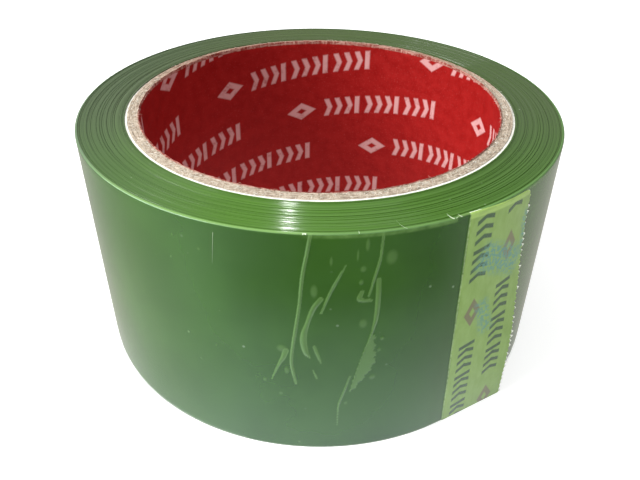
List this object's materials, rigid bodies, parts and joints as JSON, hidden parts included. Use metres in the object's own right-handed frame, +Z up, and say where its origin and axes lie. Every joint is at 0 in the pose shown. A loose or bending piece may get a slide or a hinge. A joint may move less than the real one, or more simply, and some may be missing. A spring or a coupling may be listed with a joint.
{
  "type": "packing tape roll",
  "caption": "Wide green adhesive packing tape wound on a paperboard core with a red liner, its free end lifting with a paper pull tab.",
  "frame": {"origin": "on the roll's axis, level with the lowest tape edges it rests on", "axes": "+Z up along the roll's axis; -Y is the front, and the free end is at the front right"},
  "size_m": [0.1013, 0.1013, 0.0509],
  "materials": {
    "liner_paper": "satin",
    "core_board": "matte",
    "cover_paper": "matte",
    "tape_film": "gloss",
    "free_film": "gloss",
    "tab_paper": "satin"
  },
  "bodies": {
    "roll": {"core_liner": "liner_paper", "core_board_ply_1": "core_board", "core_board_ply_2": "core_board", "core_board_ply_3": "core_board", "core_board_ply_4": "core_board", "core_cover_ply": "cover_paper", "tape_winding": "tape_film", "tape_outer_turn": "tape_film"},
    "free_end": {"tape_free_end": "free_film", "paper_pull_tab": "tab_paper"}
  },
  "joints": [
    {"name": "tab_lift", "type": "hinge", "parent": "roll", "child": "free_end", "pos_m": [0.02538, -0.04396, 0], "axis": [0, 0, -1], "range_deg": [0, 120]}
  ]
}
